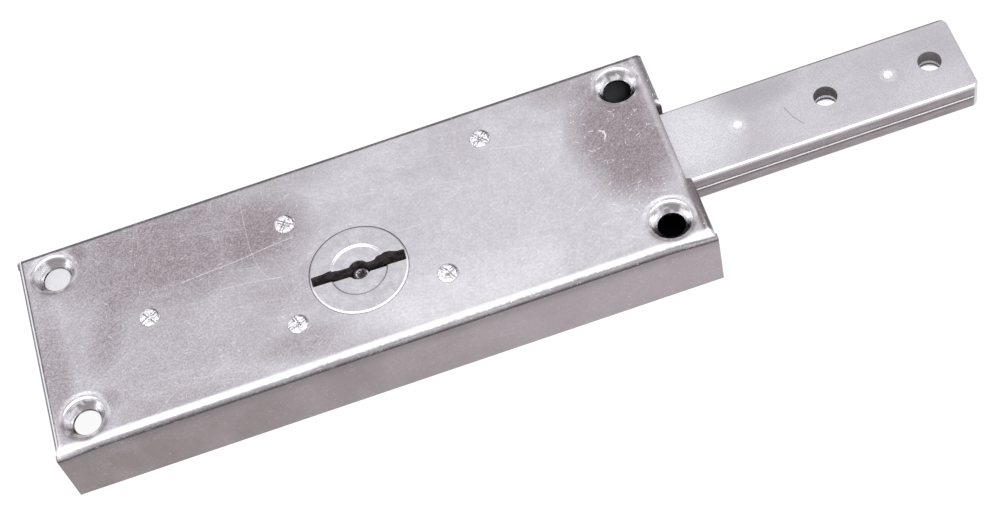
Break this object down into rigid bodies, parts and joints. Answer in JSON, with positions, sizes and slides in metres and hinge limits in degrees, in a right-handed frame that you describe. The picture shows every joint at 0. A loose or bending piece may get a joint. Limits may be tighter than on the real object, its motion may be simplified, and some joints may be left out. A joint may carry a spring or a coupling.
{
  "type": "roller shutter lock",
  "caption": "Roller shutter lock: shallow folded sheet case with countersunk fixing holes, a keyway rotor in the face, a lever pack inside and a long laminated sliding bolt.",
  "frame": {"origin": "centre of the case's back plane", "axes": "+X along the bolt, from the case to the tip; +Z out of the face with the keyway"},
  "size_m": [0.224, 0.055, 0.0193],
  "materials": {
    "case_zinc": "zinc-plated sheet with handling marks",
    "rotor_zinc": "turned and zinc plated",
    "bolt_zinc": "punched and zinc plated, smooth",
    "turned_steel": "turned bright steel",
    "lever_brass": "stamped, plain",
    "spring_steel": "hardened strip"
  },
  "bodies": {
    "case": {"case_shell": "case_zinc", "back_cover": "case_zinc", "cover_screws": "turned_steel", "rotor_keeper": "case_zinc", "key_pin": "turned_steel", "pivot_post": "turned_steel", "stop_post": "turned_steel", "tail_post": "turned_steel", "spring_post": "turned_steel", "guide_post": "turned_steel", "stop_sleeve": "turned_steel", "tail_sleeve": "turned_steel", "guide_sleeve": "turned_steel", "pivot_washer": "turned_steel"},
    "rotor": {"keyway_rotor": "rotor_zinc"},
    "bolt": {"bolt_top_plate": "bolt_zinc", "bolt_bottom_plate": "bolt_zinc", "bolt_rivets": "turned_steel", "bolt_stump": "turned_steel"},
    "lever_set_1": {"lever_1": "lever_brass", "lever_spring_1": "spring_steel"},
    "lever_set_2": {"lever_2": "lever_brass", "lever_spring_2": "spring_steel"},
    "lever_set_3": {"lever_3": "lever_brass", "lever_spring_3": "spring_steel"},
    "lever_set_4": {"lever_4": "lever_brass", "lever_spring_4": "spring_steel"},
    "lever_set_5": {"lever_5": "lever_brass", "lever_spring_5": "spring_steel"}
  },
  "joints": [
    {"name": "rotor_turn", "type": "hinge", "parent": "case", "child": "rotor", "pos_m": [-0.001, -0.006, 0.0158], "axis": [0, 0, 1], "continuous": true},
    {"name": "bolt_slide", "type": "slide", "parent": "case", "child": "bolt", "axis": [1, 0, 0], "range_m": [-0.028, 0]},
    {"name": "lever_1_pivot", "type": "hinge", "parent": "case", "child": "lever_set_1", "pos_m": [-0.0497, 0, 0.0024], "axis": [0, 0, 1], "range_deg": [-2.3, 0]},
    {"name": "lever_2_pivot", "type": "hinge", "parent": "case", "child": "lever_set_2", "pos_m": [-0.0497, 0, 0.0037], "axis": [0, 0, 1], "range_deg": [-2.3, 0]},
    {"name": "lever_3_pivot", "type": "hinge", "parent": "case", "child": "lever_set_3", "pos_m": [-0.0497, 0, 0.005], "axis": [0, 0, 1], "range_deg": [-2.3, 0]},
    {"name": "lever_4_pivot", "type": "hinge", "parent": "case", "child": "lever_set_4", "pos_m": [-0.0497, 0, 0.0063], "axis": [0, 0, 1], "range_deg": [-2.3, 0]},
    {"name": "lever_5_pivot", "type": "hinge", "parent": "case", "child": "lever_set_5", "pos_m": [-0.0497, 0, 0.0076], "axis": [0, 0, 1], "range_deg": [-2.3, 0]}
  ]
}
